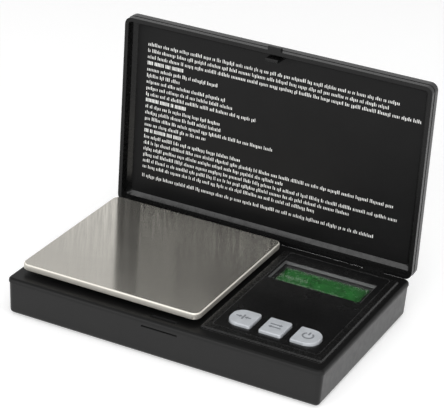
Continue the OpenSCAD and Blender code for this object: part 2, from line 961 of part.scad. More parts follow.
// Plunger between a key's flange and its switch
module plunger(i) {
    color([0.1, 0.1, 0.1])
        translate([key_cx[i], key_cy, plunger_z0])
            cylinder(h = flange_z1 - flange_t - plunger_z0, r = plunger_r);
}

module switch_plunger_tare() {
    plunger(0);
}

module switch_plunger_mode() {
    plunger(1);
}

module switch_plunger_power() {
    plunger(2);
}

// Three tactile switches on the board, each with the well for its plunger
module switch_bodies() {
    well = plunger_z0 - key_travel - fit_seat;
    color([0.15, 0.15, 0.16])
        for (i = [0:2])
            translate([key_cx[i], key_cy, 0])
                difference() {
                    translate([-switch_side / 2, -switch_side / 2, board_z1])
                        cube([switch_side, switch_side, switch_h]);
                    translate([0, 0, well])
                        cylinder(h = switch_h + over, r = plunger_r + fit_run);
                }
}

// Folded sheet: rounded outside, straight inside
module platform() {
    z0 = plate_z - skirt_h;
    profile = concat(
        [[0, z0], [plate_r, z0]],
        arc([plate_r - bend_r, plate_z - bend_r], bend_r, 0, 90),
        [[0, plate_z]]
    );
    color([0.75, 0.75, 0.72])
        translate([plate_cx, 0, 0])
            difference() {
                corner_block(plate_w, plate_d, plate_r, profile);
                rounded_prism(
                    plate_w - 2 * sheet_t,
                    plate_d - 2 * sheet_t,
                    plate_r - sheet_t,
                    z0 - over,
                    plate_z - sheet_t
                );
            }
}

// Carrier plate with a rim of ribs and the column that stands on the beam's free end
module platform_carrier() {
    w = plate_w - 2 * sheet_t - 2 * fit_air;
    d = plate_d - 2 * sheet_t - 2 * fit_air;
    r = plate_r - sheet_t;
    rib = 1.2;
    rib_z = plate_z - skirt_h - 0.05;
    color([0.25, 0.25, 0.26])
        difference() {
            union() {
                difference() {
                    translate([plate_cx, 0, 0])
                        rounded_prism(w, d, r, rib_z, carrier_z1);
                    translate([plate_cx, 0, 0])
                        rounded_prism(w - 2 * rib, d - 2 * rib, r - rib, rib_z - over, carrier_z0);
                }
                for (y = [-d / 4, d / 4])
                    span(
                        [plate_cx - w / 2 + rib / 2, y - rib / 2, rib_z],
                        [plate_cx + w / 2 - rib / 2, y + rib / 2, carrier_z0 + 0.1]
                    );
                span([column_x0, -beam_w / 2, beam_z1], [column_x0 + column_l, beam_w / 2, carrier_z0 + 0.1]);
            }
            at_carrier_screws() {
                translate([0, 0, beam_z1 - over])
                    cylinder(h = carrier_z1 - beam_z1 + 2 * over, r = beam_hole_r + fit_seat);
                translate([0, 0, carrier_head_z - fit_air])
                    cylinder(h = carrier_z1 - carrier_head_z + over + fit_air, r = carrier_head_r + fit_air);
            }
        }
}

carrier_head_r = 2.6;
carrier_head_h = 1.7;
carrier_head_z = carrier_z1 - 2;

module at_carrier_screws() {
    for (i = [0, 1])
        translate([beam_x0 + beam_hole_in + i * beam_hole_pitch, 0, 0])
            children();
}

module carrier_screws() {
    reach = carrier_head_z - beam_z1 + beam_screw_reach;
    color("silver")
        at_carrier_screws()
            translate([0, 0, carrier_head_z - fit_air + carrier_head_h])
                mirror([0, 0, 1])
                    pan_screw(carrier_head_r, carrier_head_h, beam_hole_r - fit_run, reach - fit_air);
}

// Double-hole beam: two cross bores joined by a slot make the parallel flexure
module load_cell() {
    flex_r = 1.9;
    slot_h = 1.2;
    mid_z = beam_z + beam_h / 2;
    color([0.8, 0.81, 0.82])
        difference() {
            span([beam_x0, -beam_w / 2, beam_z], [beam_x1, beam_w / 2, beam_z1]);
            for (side = [-1, 1])
                translate([plate_cx + side * flex_x, 0, mid_z])
                    rotate([90, 0, 0])
                        cylinder(h = beam_w + 2 * over, r = flex_r, center = true);
            span(
                [plate_cx - flex_x, -beam_w / 2 - over, mid_z - slot_h / 2],
                [plate_cx + flex_x, beam_w / 2 + over, mid_z + slot_h / 2]
            );
            for (x = [beam_x0 + beam_hole_in, beam_x1 - beam_hole_in], i = [0, 1])
                translate([x + sign(plate_cx - x) * i * beam_hole_pitch, 0, beam_z - over])
                    cylinder(h = beam_h + 2 * over, r = beam_hole_r);
        }
}

module load_cell_screws() {
    color("silver")
        for (i = [0, 1])
            translate([beam_x1 - beam_hole_in - i * beam_hole_pitch, 0, fit_seat])
                pan_screw(beam_screw_head_r, beam_screw_head_h, beam_hole_r - fit_run, beam_screw_l);
}

module strain_gauges() {
    t = 0.15;
    gauge_l = 4;
    gauge_w = 5;
    color([0.75, 0.55, 0.2])
        for (x = [-flex_x, flex_x], z = [beam_z - t, beam_z1])
            translate([plate_cx + x - gauge_l / 2, -gauge_w / 2, z])
                cube([gauge_l, gauge_w, t]);
}

terminal_in = 18;
terminal_x = beam_x1 - terminal_in;
terminal_l = 8;
terminal_t = 1.8;
terminal_w = 4.6;
wire_pitch = 1;
wire_under = 2.5;
load_wire_y = [for (i = [0:3]) beam_w / 2 + (i + 0.9) * wire_pitch];

module gauge_terminal() {
    color([0.85, 0.85, 0.8])
        span(
            [terminal_x, beam_w / 2, wire_z - terminal_t / 2],
            [terminal_x + terminal_l, beam_w / 2 + terminal_w, wire_z + terminal_t / 2]
        );
}

// Wires clipped straight between two parts, ending under the board
module straight_wires(ys, x0) {
    x1 = panel_x0 + board_edge + wire_under;
    for (y = ys)
        translate([x0, y, wire_z])
            rotate([0, 90, 0])
                cylinder(h = x1 - x0, r = wire_r, $fn = 24);
}

module load_cell_wires() {
    color("firebrick")
        straight_wires(load_wire_y, terminal_x + terminal_l);
}

module battery_wires() {
    color("darkred")
        straight_wires(cell_y, tail_x);
}

module overload_screw() {
    color("silver")
        translate([beam_x0 + beam_hole_in, 0, 0.3])
            difference() {
                cylinder(h = beam_z - plate_travel - fit_seat - 0.3, r = stop_screw_r);
                translate([-stop_screw_r - over, -0.15, -over])
                    cube([2 * (stop_screw_r + over), 0.3, over + 0.5]);
            }
}

// One cell along X from its flat end at x = 0, nub at the far end
module cell() {
    nub = 0.8;
    rotate([0, 90, 0])
        union() {
            cylinder(h = cell_len - nub, r = cell_r);
            cylinder(h = cell_len, r = 1.9);
        }
}

module battery_cells() {
    color([0.3, 0.32, 0.35]) {
        translate([bay_x0 + contact_t + fit_run + cell_len, cell_y[0], cell_z])
            mirror([1, 0, 0])
                cell();
        translate([bay_x1 - contact_t - fit_run - cell_len, cell_y[1], cell_z])
            cell();
    }
}

// Points of a spring's wire: a coil along X that narrows from its seat to its tip
spring_turns = 4;
spring_steps = 10;
spring_sides = 6;
spring_wire = 0.25;
spring_r = 3;

function coil_at(t) = let (r = spring_r - t, a = 360 * spring_turns * t)
    [spring_wire - 0.05 + (spring_len - 2 * spring_wire) * t, r * cos(a), r * sin(a)];

function coil_ring(t) = let (a = 360 * spring_turns * t, c = coil_at(t))
    [for (k = [0:spring_sides - 1]) let (b = 360 * k / spring_sides)
        c + spring_wire * [sin(b), cos(b) * cos(a), cos(b) * sin(a)]];

module contact_spring() {
    n = spring_turns * spring_steps;
    m = spring_sides;
    points = [for (i = [0:n]) each coil_ring(i / n)];
    sides = [for (i = [0:n - 1], k = [0:m - 1])
        each [
            [i * m + k, i * m + (k + 1) % m, (i + 1) * m + k],
            [i * m + (k + 1) % m, (i + 1) * m + (k + 1) % m, (i + 1) * m + k]
        ]];
    caps = [[for (k = [m - 1:-1:0]) k], [for (k = [0:m - 1]) n * m + k]];
    polyhedron(points, concat(sides, caps));
}

// Plate that joins the two cells' ends, with a spring for the rear cell
module link_contact() {
    color([0.8, 0.8, 0.76]) {
        span(
            [bay_x0, cell_y[0] - contact_side, contact_z0],
            [bay_x0 + contact_t, cell_y[1] + contact_side, contact_z0 + contact_h]
        );
        translate([bay_x0 + contact_t, cell_y[1], cell_z])
            contact_spring();
    }
}

// Plate at the right end of the bay, with its tail through the wall
module end_plate(y) {
    w = contact_side;
    span([bay_x1 - contact_t, y - w, contact_z0], [bay_x1, y + w, contact_z0 + contact_h]);
    span([bay_x1 - 0.1, y - tail_w / 2, wire_z - tail_t / 2], [tail_x, y + tail_w / 2, wire_z + tail_t / 2]);
}

module spring_contact() {
    color([0.8, 0.8, 0.76]) {
        end_plate(cell_y[0]);
        translate([bay_x1 - contact_t, cell_y[0], cell_z])
            mirror([1, 0, 0])
                contact_spring();
    }
}

module plate_contact() {
    color([0.8, 0.8, 0.76])
        end_plate(cell_y[1]);
}

// Door flush with the underside: a round nose on its hinge line, two tabs, grip grooves, latch tongue
module battery_door() {
    y0 = bay_y0 - door_lap + fit_air;
    y1 = bay_y1 + door_lap - fit_air;
    x1 = bay_x1 + door_lap - fit_air;
    mid = (y0 + y1) / 2;
    tab_z = floor_t + 0.15;
    tab_h = 0.85;
    tab_x = bay_x0 - door_lap - bay_wall - 0.1;
    tongue_w = 8;
    tongue_l = 7;
    cut_w = 0.6;
    color([0.18, 0.18, 0.19])
        difference() {
            union() {
                along_y(y0, y1) {
                    translate([door_x, nose_r])
                        circle(nose_r);
                    translate([door_x, 0])
                        square([x1 - door_x, door_t]);
                }
                for (y = door_tab_y)
                    along_y(y, y + door_tab_w)
                        polygon([
                            [tab_x, tab_z],
                            [door_x - 0.2, tab_z],
                            [door_x - 0.2, door_t - 0.3],
                            [door_x + 1.1, door_t - 0.3],
                            [door_x + 1.1, tab_z + tab_h],
                            [tab_x, tab_z + tab_h]
                        ]);
                translate([x1, mid - 2, 0.5])
                    cube([0.12, 4, 0.4]);
            }
            for (side = [-1, 1])
                translate([x1 - tongue_l, mid + side * tongue_w / 2 - cut_w / 2, -over])
                    cube([tongue_l + over, cut_w, door_t + 2 * over]);
            for (i = [0:4])
                translate([x1 - tongue_l - 4 - 1.6 * i, mid - 5, -over])
                    cube([0.7, 10, over + 0.35]);
        }
}

module rubber_feet() {
    color([0.12, 0.12, 0.12])
        at_feet()
            rotate_extrude()
                polygon(concat(
                    [[0, -foot_proud]],
                    arc([foot_r - 0.3, -foot_proud + 0.3], 0.3, -90, 0),
                    [[foot_r, foot_sink], [0, foot_sink]]
                ));
}

module case_screws() {
    color("silver")
        at_case_screws()
            translate([0, 0, fit_seat])
                pan_screw(screw_head_r, screw_head_h, case_screw_r, screw_grip + 1);
}

bottom_case();
top_deck();
lid();
lid_label();
hinge_pins();
control_panel();
panel_overlay();
lcd_window();
lcd_glass();
backlight();
lcd_holder();
elastomer_strip();
circuit_board();
board_screws();
microcontroller();
converter_chip();
crystal();
key_tare();
key_mode();
key_power();
switch_plunger_tare();
switch_plunger_mode();
switch_plunger_power();
switch_bodies();
platform();
platform_carrier();
carrier_screws();
load_cell();
load_cell_screws();
strain_gauges();
gauge_terminal();
load_cell_wires();
overload_screw();
battery_cells();
link_contact();
spring_contact();
plate_contact();
battery_wires();
battery_door();
rubber_feet();
case_screws();
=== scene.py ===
"""Looks of the flip-top pocket scale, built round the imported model. Lengths are in metres."""
import math
import random

import bmesh
import bpy
from mathutils import Matrix, Vector


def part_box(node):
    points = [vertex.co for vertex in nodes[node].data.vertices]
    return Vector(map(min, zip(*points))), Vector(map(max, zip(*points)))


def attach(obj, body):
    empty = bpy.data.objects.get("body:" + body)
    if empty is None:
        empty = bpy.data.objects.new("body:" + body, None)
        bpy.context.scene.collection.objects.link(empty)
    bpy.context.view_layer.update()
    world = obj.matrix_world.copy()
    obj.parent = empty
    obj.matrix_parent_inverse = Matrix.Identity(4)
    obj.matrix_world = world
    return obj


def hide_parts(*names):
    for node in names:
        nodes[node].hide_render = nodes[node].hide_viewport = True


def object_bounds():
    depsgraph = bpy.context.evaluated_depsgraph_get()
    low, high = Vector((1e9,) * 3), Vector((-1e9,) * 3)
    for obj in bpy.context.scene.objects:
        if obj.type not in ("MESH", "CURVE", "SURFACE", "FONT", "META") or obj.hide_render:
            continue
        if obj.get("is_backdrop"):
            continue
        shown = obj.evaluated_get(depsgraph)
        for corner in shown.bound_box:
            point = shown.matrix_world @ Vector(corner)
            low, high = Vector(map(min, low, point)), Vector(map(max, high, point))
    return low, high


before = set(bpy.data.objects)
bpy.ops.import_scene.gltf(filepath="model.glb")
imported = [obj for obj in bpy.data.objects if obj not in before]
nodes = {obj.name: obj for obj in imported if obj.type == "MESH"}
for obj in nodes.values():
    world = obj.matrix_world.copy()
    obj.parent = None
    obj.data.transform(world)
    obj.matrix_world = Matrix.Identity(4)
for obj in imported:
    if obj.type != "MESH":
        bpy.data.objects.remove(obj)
cad_low, cad_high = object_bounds()

MM = 0.001
random.seed(11)

# Camera, fitted to the straight edges of the photograph
image_w, image_h = 444, 414
focal_px = 1893.98
centre_px = (227.44, 204.85)
camera_place = Vector((268.964, -568.228, 341.172)) * MM
camera_azimuth, camera_elevation, camera_roll = (math.radians(a) for a in (24.96, 25.19, 3.98))

# Colours, linear
black_plastic = (0.005, 0.005, 0.005)
film_black = (0.0045, 0.0045, 0.0046)
ink_white = (0.8, 0.8, 0.78)
key_grey = (0.45, 0.47, 0.495)
legend_shade_grey = (0.17, 0.18, 0.195)
wall_grey = (0.11, 0.112, 0.112)
steel_grey = (0.42, 0.404, 0.366)
bright_steel = (0.62, 0.62, 0.62)
display_green = (0.022, 0.16, 0.03)
coat_red, coat_black = (0.4, 0.015, 0.015), (0.012, 0.012, 0.012)
coat_green, coat_white = (0.02, 0.2, 0.04), (0.7, 0.7, 0.68)

# Direction of the steel's brush strokes from +X, and how far edge wear and painted edge highlights
# reach from an edge
brush_turn = math.radians(28.8)
edge_mark_width = 0.35 * MM


# Node helpers
def new_material(name):
    material = bpy.data.materials.new(name)
    material.use_nodes = True
    return material, material.node_tree, material.node_tree.nodes["Principled BSDF"]


def place_of(tree):
    """Object coordinates, which for every piece are the frame's own at rest."""
    found = tree.nodes.get("Place")
    if found is None:
        found = tree.nodes.new("ShaderNodeTexCoord")
        found.name = "Place"
    return found.outputs["Object"]


def noise(tree, scale, detail=4.0, rough=0.55, stretch=(1, 1, 1), turn=0.0):
    """A noise whose features are 1 / scale metres wide, stretched along axes turned about Z."""
    turned = tree.nodes.new("ShaderNodeVectorRotate")
    turned.rotation_type = "Z_AXIS"
    turned.inputs["Angle"].default_value = -turn
    tree.links.new(place_of(tree), turned.inputs["Vector"])
    mapping = tree.nodes.new("ShaderNodeMapping")
    mapping.inputs["Scale"].default_value = stretch
    tree.links.new(turned.outputs["Vector"], mapping.inputs["Vector"])
    texture = tree.nodes.new("ShaderNodeTexNoise")
    texture.inputs["Scale"].default_value = scale
    texture.inputs["Detail"].default_value = detail
    texture.inputs["Roughness"].default_value = rough
    tree.links.new(mapping.outputs["Vector"], texture.inputs["Vector"])
    return texture.outputs["Fac"]


def spread(tree, value, low, high, start=0.3, end=0.7):
    """Turns a value from start to end into one from low to high."""
    node = tree.nodes.new("ShaderNodeMapRange")
    for socket, number in (("From Min", start), ("From Max", end), ("To Min", low), ("To Max", high)):
        node.inputs[socket].default_value = number
    tree.links.new(value, node.inputs["Value"])
    return node.outputs["Result"]


def blend_colours(tree, share, first, second):
    """A colour from first, where share is 0, to second; each is a colour or a socket."""
    node = tree.nodes.new("ShaderNodeMix")
    node.data_type = "RGBA"
    tree.links.new(share, node.inputs["Factor"])
    for socket, colour in ((node.inputs["A"], first), (node.inputs["B"], second)):
        if isinstance(colour, bpy.types.NodeSocket):
            tree.links.new(colour, socket)
        else:
            socket.default_value = (*colour, 1.0)
    return node.outputs["Result"]


def maths(tree, operation, first, second):
    """Result of a two-sided operation, whose second side is a socket or a number."""
    node = tree.nodes.new("ShaderNodeMath")
    node.operation = operation
    tree.links.new(first, node.inputs[0])
    if isinstance(second, bpy.types.NodeSocket):
        tree.links.new(second, node.inputs[1])
    else:
        node.inputs[1].default_value = second
    return node.outputs["Value"]


def part_of(tree, axis):
    """One coordinate of the place."""
    node = tree.nodes.new("ShaderNodeSeparateXYZ")
    tree.links.new(place_of(tree), node.inputs["Vector"])
    return node.outputs[axis]


def lean(tree):
    """How far a face looks up: 1 for a level one, 0 for an upright one."""
    surface = tree.nodes.new("ShaderNodeNewGeometry")
    node = tree.nodes.new("ShaderNodeSeparateXYZ")
    tree.links.new(surface.outputs["Normal"], node.inputs["Vector"])
    return node.outputs["Z"]


def shade(colour, factor):
    return tuple(min(1.0, c * factor) for c in colour)


def mottled(tree, shader, colour, scale, amount):
    """Colour that wanders by amount to either side, with features 1 / scale metres wide."""
    share = spread(tree, noise(tree, scale), 0, 1)
    result = blend_colours(tree, share, shade(colour, 1 - amount), shade(colour, 1 + amount))
    tree.links.new(result, shader.inputs["Base Color"])


def uneven_gloss(tree, shader, low, high, scale):
    tree.links.new(spread(tree, noise(tree, scale), low, high), shader.inputs["Roughness"])


def add_bump(tree, shader, height, strength, distance):
    """Adds a bump to those that the shader has."""
    node = tree.nodes.new("ShaderNodeBump")
    node.inputs["Strength"].default_value = strength
    node.inputs["Distance"].default_value = distance
    tree.links.new(height, node.inputs["Height"])
    before = shader.inputs["Normal"].links
    if before:
        tree.links.new(before[0].from_socket, node.inputs["Normal"])
    tree.links.new(node.outputs["Normal"], shader.inputs["Normal"])


def edge_mask(tree, radius):
    """1 on edges and 0 on flat stretches, from how a softened normal leans."""
    softened = tree.nodes.new("ShaderNodeBevel")
    softened.samples = 6
    softened.inputs["Radius"].default_value = radius
    surface = tree.nodes.new("ShaderNodeNewGeometry")
    dot = tree.nodes.new("ShaderNodeVectorMath")
    dot.operation = "DOT_PRODUCT"
    tree.links.new(softened.outputs["Normal"], dot.inputs[0])
    tree.links.new(surface.outputs["Normal"], dot.inputs[1])
    return spread(tree, dot.outputs["Value"], 1, 0, 0.8, 0.98)


def worn_or_lit_edges(tree, shader, colour, amount, evenness):
    """Paler edges in patches, as handling polishes a moulded edge; with a high evenness, as on the
    panel, an even painted highlight along the edges; evenness 1 has no patches.
    """
    patches = spread(tree, noise(tree, 180, 6, 0.65), evenness * amount, amount, 0.4, 0.65)
    share = maths(tree, "MULTIPLY", edge_mask(tree, edge_mark_width), patches)
    before = shader.inputs["Base Color"].links[0].from_socket
    tree.links.new(blend_colours(tree, share, before, colour), shader.inputs["Base Color"])


# Materials
def moulded(name, colour, rough=0.45, grain=0.2, wear_or_highlight=0.0, grain_scale=3500, shine=0.5, pale=3.5,
            evenness=0.0):
    """Moulded plastic: spark-eroded grain, uneven gloss, and edges made pale times lighter, as wear or
    as a painted highlight.
    """
    material, tree, shader = new_material(name)
    shader.inputs["Specular IOR Level"].default_value = shine
    mottled(tree, shader, colour, 260, 0.1)
    uneven_gloss(tree, shader, rough - 0.04, rough + 0.04, 420)
    add_bump(tree, shader, noise(tree, grain_scale, 3, 0.6), grain, 0.03 * MM)
    if wear_or_highlight:
        worn_or_lit_edges(tree, shader, shade(colour, pale), wear_or_highlight, evenness)
    return material


def painted_light_sides(material, colour):
    """Paints the upright faces a paler colour of their own: painted light, for the light that falls on
    them.
    """
    tree = material.node_tree
    shader = tree.nodes["Principled BSDF"]
    before = shader.inputs["Base Color"].links[0].from_socket
    upright = spread(tree, lean(tree), 1, 0, 0.2, 0.9)
    tree.links.new(blend_colours(tree, upright, before, colour), shader.inputs["Base Color"])


def metal(name, colour, rough, stretch=(1, 1, 1)):
    """Bare metal with fine marks, stretched along the direction it was worked in."""
    material, tree, shader = new_material(name)
    shader.inputs["Metallic"].default_value = 1.0
    mottled(tree, shader, colour, 300, 0.08)
    uneven_gloss(tree, shader, rough - 0.07, rough + 0.07, 700)
    add_bump(tree, shader, noise(tree, 2500, 3, 0.6, stretch), 0.15, 0.02 * MM)
    return material


def film(name, rough, shine, peel_scale):
    """Printed plastic film: satin, with a faint orange peel and rubbed patches."""
    material, tree, shader = new_material(name)
    shader.inputs["Specular IOR Level"].default_value = shine
    mottled(tree, shader, film_black, 120, 0.12)
    uneven_gloss(tree, shader, rough - 0.04, rough + 0.04, 90)
    add_bump(tree, shader, noise(tree, peel_scale, 2, 0.5), 0.1, 0.03 * MM)
    return material


def ink_or_shade(name, colour):
    """Screen-printed ink with thin places; on the key symbols its dark colour is painted shade."""
    material, tree, shader = new_material(name)
    mottled(tree, shader, colour, 2200, 0.12)
    uneven_gloss(tree, shader, 0.45, 0.6, 1500)
    return material


def brushed_sheet():
    """Stainless sheet brushed aslant, so that reflections on the flat smear one way, with painted light
    on its fold.
    """
    material, tree, shader = new_material("brushed_steel")
    shader.inputs["Anisotropic"].default_value = 0.95
    strokes = noise(tree, 3200, 4, 0.7, (0.012, 1, 1), brush_turn)
    # The bend and the skirt below it, and of these the bend alone
    folded = spread(tree, lean(tree), 1, 0, 0.8, 0.98)
    rim = maths(tree, "MULTIPLY", folded, spread(tree, lean(tree), 0, 1, 0.3, 0.7))

    # Colour: clouds, brush strokes, pale streaks that fade out towards the front as a painted
    # reflection of the lid's print on the back of the flat, and the fold's painted light
    clouds = spread(tree, noise(tree, 60, 3, 0.5), 0, 1)
    base = blend_colours(tree, clouds, shade(steel_grey, 0.96), shade(steel_grey, 1.04))
    brushed = blend_colours(tree, spread(tree, strokes, 0, 1), shade(steel_grey, 0.92), base)
    # Painted reflection: brush streaks made paler where the lid's print reflects, fading out towards
    # the front
    streaks = spread(tree, noise(tree, 1300, 3, 0.65, (1, 0.03, 1), brush_turn), 0, 1, 0.36, 0.64)
    fade = spread(tree, part_of(tree, "Y"), 0.1, 1, -20 * MM, 30 * MM)
    streaks = maths(tree, "MULTIPLY", streaks, fade)
    brushed = blend_colours(tree, streaks, brushed, shade(steel_grey, 1.35))
    # Painted light: the fold 1.4 times and the bend, a painted highlight, twice as pale as the steel
    fold = blend_colours(tree, rim, shade(steel_grey, 1.4), shade(steel_grey, 2))
    tree.links.new(blend_colours(tree, folded, brushed, fold), shader.inputs["Base Color"])

    # The fold is duller and less of a mirror than the flat, so that its painted light shows
    bare = maths(tree, "ADD", spread(tree, folded, 0.93, 0.75, 0, 1), spread(tree, rim, 0, -0.35, 0, 1))
    tree.links.new(bare, shader.inputs["Metallic"])
    rubbed = spread(tree, noise(tree, 45, 5, 0.6), -0.01, 0.01)
    flat = maths(tree, "ADD", spread(tree, strokes, 0.215, 0.19), rubbed)
    rough = maths(tree, "ADD", flat, spread(tree, folded, 0, 0.3, 0, 1))
    tree.links.new(rough, shader.inputs["Roughness"])
    add_bump(tree, shader, strokes, 0.04, 0.01 * MM)

    # Reflections smear along the tangent, which lies across the strokes
    tangent = tree.nodes.new("ShaderNodeCombineXYZ")
    for axis, share in (("X", -math.sin(brush_turn)), ("Y", math.cos(brush_turn)), ("Z", -0.02)):
        tangent.inputs[axis].default_value = share
    tree.links.new(tangent.outputs["Vector"], shader.inputs["Tangent"])
    return material


def display_pane():
    """Green display with an uneven back light, and painted shade along its sides, where the rim of the
    opening shadows it.
    """
    material, tree, shader = new_material("display")
    mottled(tree, shader, display_green, 260, 0.2)
    low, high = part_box("lcd_window")
    dark, bright_x, bright_y = 2 * MM, 6.5 * MM, 5.5 * MM
    inner = None
    for axis, start, end, bright in (("X", low.x, high.x, bright_x), ("Y", low.y, high.y, bright_y)):
        for side, inwards in ((start, 1), (end, -1)):
            place = part_of(tree, axis)
            from_side = spread(tree, place, 0, 1, side + inwards * dark, side + inwards * bright)
            inner = from_side if inner is None else maths(tree, "MULTIPLY", inner, from_side)
    # Painted shade: the glass darkens towards each side, as under the rim of the opening
    before = shader.inputs["Base Color"].links[0].from_socket
    painted_edge_shade = blend_colours(tree, inner, shade(display_green, 0.3), before)
    tree.links.new(painted_edge_shade, shader.inputs["Base Color"])
    uneven_gloss(tree, shader, 0.2, 0.3, 500)
    shader.inputs["Emission Color"].default_value = (*display_green, 1.0)
    shader.inputs["Emission Strength"].default_value = 0.08
    add_bump(tree, shader, noise(tree, 1800, 3, 0.6), 0.15, 0.03 * MM)
    return material


def clear_lens():
    """Clear window over the display, with light scratches."""
    material, tree, shader = new_material("lens")
    shader.inputs["Transmission Weight"].default_value = 1.0
    shader.inputs["IOR"].default_value = 1.49
    shader.inputs["Base Color"].default_value = (0.97, 1.0, 0.98, 1.0)
    uneven_gloss(tree, shader, 0.015, 0.035, 700)
    add_bump(tree, shader, noise(tree, 500, 2, 0.5), 0.02, 0.02 * MM)
    return material


def solder_mask():
    """Green solder mask with tracks under it."""
    material, tree, shader = new_material("solder_mask")
    tracks = tree.nodes.new("ShaderNodeTexBrick")
    tracks.inputs["Scale"].default_value = 420
    tracks.inputs["Color1"].default_value = (0.012, 0.1, 0.03, 1)
    tracks.inputs["Color2"].default_value = (0.016, 0.13, 0.04, 1)
    tracks.inputs["Mortar"].default_value = (0.03, 0.2, 0.06, 1)
    tree.links.new(place_of(tree), tracks.inputs["Vector"])
    tree.links.new(tracks.outputs["Color"], shader.inputs["Base Color"])
    uneven_gloss(tree, shader, 0.22, 0.35, 600)
    add_bump(tree, shader, tracks.outputs["Fac"], 0.2, 0.03 * MM)
    return material


def wire_coats(name, node, colours):
    """Insulation of parallel wires, one colour for each in turn along Y."""
    low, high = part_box(node)
    material, tree, shader = new_material(name)
    ramp = tree.nodes.new("ShaderNodeValToRGB")
    ramp.color_ramp.interpolation = "CONSTANT"
    while len(ramp.color_ramp.elements) < len(colours):
        ramp.color_ramp.elements.new(0.5)
    for i, colour in enumerate(colours):
        ramp.color_ramp.elements[i].position = i / len(colours)
        ramp.color_ramp.elements[i].color = (*colour, 1.0)
    tree.links.new(spread(tree, part_of(tree, "Y"), 0, 1, low.y, high.y), ramp.inputs["Fac"])
    tree.links.new(ramp.outputs["Color"], shader.inputs["Base Color"])
    uneven_gloss(tree, shader, 0.36, 0.5, 800)
    return material


case_plastic = moulded("case_plastic", black_plastic, 0.34, 0.12, 0.4, shine=0.32, pale=8)
deck_plastic = moulded("deck_plastic", black_plastic, 0.36, 0.12, 0.2, shine=0.1)
lid_plastic = moulded("lid_plastic", black_plastic, 0.26, 0.06, 0.15, shine=0.23)
# The panel's edges are paler all along: a painted highlight on its bevels, not wear
panel_plastic = moulded("panel_plastic", black_plastic, 0.27, 0.05, 0.9, shine=0.26, pale=28,
                        evenness=0.7)
# Painted light: the deck's upright faces, such as the band's front, are four times paler
painted_light_sides(deck_plastic, shade(black_plastic, 4))
door_plastic = moulded("door_plastic", shade(black_plastic, 1.2), 0.42, 0.25, 0.3, shine=0.36)
inner_plastic = moulded("inner_plastic", shade(black_plastic, 2.5), 0.5)
key_plastic = moulded("key_plastic", key_grey, 0.38, 0.1, grain_scale=2600)
wall_paint = moulded("wall_paint", wall_grey, 0.4, 0.1)
painted_shade_ring = moulded("painted_shade_ring", (0.003, 0.003, 0.003), 0.5, 0.1, shine=0.2)
holder_plastic = moulded("holder_plastic", (0.6, 0.6, 0.58), 0.5)
chip_plastic = moulded("chip_plastic", (0.02, 0.02, 0.022), 0.55)
plunger_plastic = moulded("plunger_plastic", (0.03, 0.03, 0.03), 0.5)
rubber = moulded("rubber", (0.02, 0.02, 0.02), 0.75, 0.5, shine=0.3)
elastomer = moulded("elastomer", (0.4, 0.12, 0.12), 0.6)
diffuser = moulded("diffuser", (0.7, 0.75, 0.68), 0.4)
cell_wrap = moulded("cell_wrap", (0.05, 0.07, 0.1), 0.32, 0.08)
cell_band = moulded("cell_band", (0.42, 0.43, 0.42), 0.35, 0.08)
insulator = moulded("insulator", (0.03, 0.03, 0.03), 0.5)
lid_film = film("lid_film", 0.46, 0.16, 900)
panel_film = film("panel_film", 0.24, 0.3, 5200)
white_ink = ink_or_shade("white_ink", ink_white)
# Painted shade: the key symbols' dark grey stands in for the shadow lines of moulded symbols
legend_painted_shade = ink_or_shade("legend_painted_shade", legend_shade_grey)
steel = metal("steel", bright_steel, 0.25)
nickel = metal("nickel", (0.66, 0.63, 0.57), 0.3, (1, 6, 6))
aluminium = metal("aluminium", (0.72, 0.73, 0.74), 0.35, (0.05, 1, 1))
gauge_foil = metal("gauge_foil", (0.7, 0.5, 0.2), 0.35)
load_wire_coat = wire_coats("load_wire_coat", "load_cell_wires",
                            (coat_red, coat_black, coat_green, coat_white))
battery_wire_coat = wire_coats("battery_wire_coat", "battery_wires", (coat_black, coat_red))

materials = {
    "bottom_case": case_plastic, "top_deck": deck_plastic, "lid": lid_plastic,
    "lid_label": lid_film, "control_panel": panel_plastic, "panel_overlay": panel_film,
    "lcd_window": clear_lens(), "lcd_glass": display_pane(), "backlight": diffuser,
    "lcd_holder": holder_plastic, "elastomer_strip": elastomer, "circuit_board": solder_mask(),
    "microcontroller": chip_plastic, "converter_chip": chip_plastic, "crystal": nickel,
    "key_tare": key_plastic, "key_mode": key_plastic, "key_power": key_plastic,
    "switch_plunger_tare": plunger_plastic, "switch_plunger_mode": plunger_plastic,
    "switch_plunger_power": plunger_plastic, "switch_bodies": steel, "platform": brushed_sheet(),
    "platform_carrier": inner_plastic, "load_cell": aluminium, "strain_gauges": gauge_foil,
    "gauge_terminal": holder_plastic, "load_cell_wires": load_wire_coat,
    "battery_wires": battery_wire_coat, "battery_cells": cell_wrap, "link_contact": nickel,
    "spring_contact": nickel, "plate_contact": nickel, "battery_door": door_plastic,
    "rubber_feet": rubber, "hinge_pins": steel, "board_screws": steel, "carrier_screws": steel,
    "load_cell_screws": steel, "overload_screw": steel, "case_screws": steel,
}
for name, node in nodes.items():
    node.data.materials.clear()
    node.data.materials.append(materials[name])


def soften(node, width, angle=30):
    """Rounds the hard edges of a CAD node by modifiers alone."""
    weld = node.modifiers.new("weld", "WELD")
    weld.merge_threshold = 0.002 * MM
    flat = node.modifiers.new("flat", "DECIMATE")
    flat.decimate_type = "DISSOLVE"
    flat.angle_limit = math.radians(0.5)
    bevel = node.modifiers.new("bevel", "BEVEL")
    bevel.width = width
    bevel.segments = 2
    bevel.limit_method = "ANGLE"
    bevel.angle_limit = math.radians(angle)
    node.modifiers.new("normals", "WEIGHTED_NORMAL")


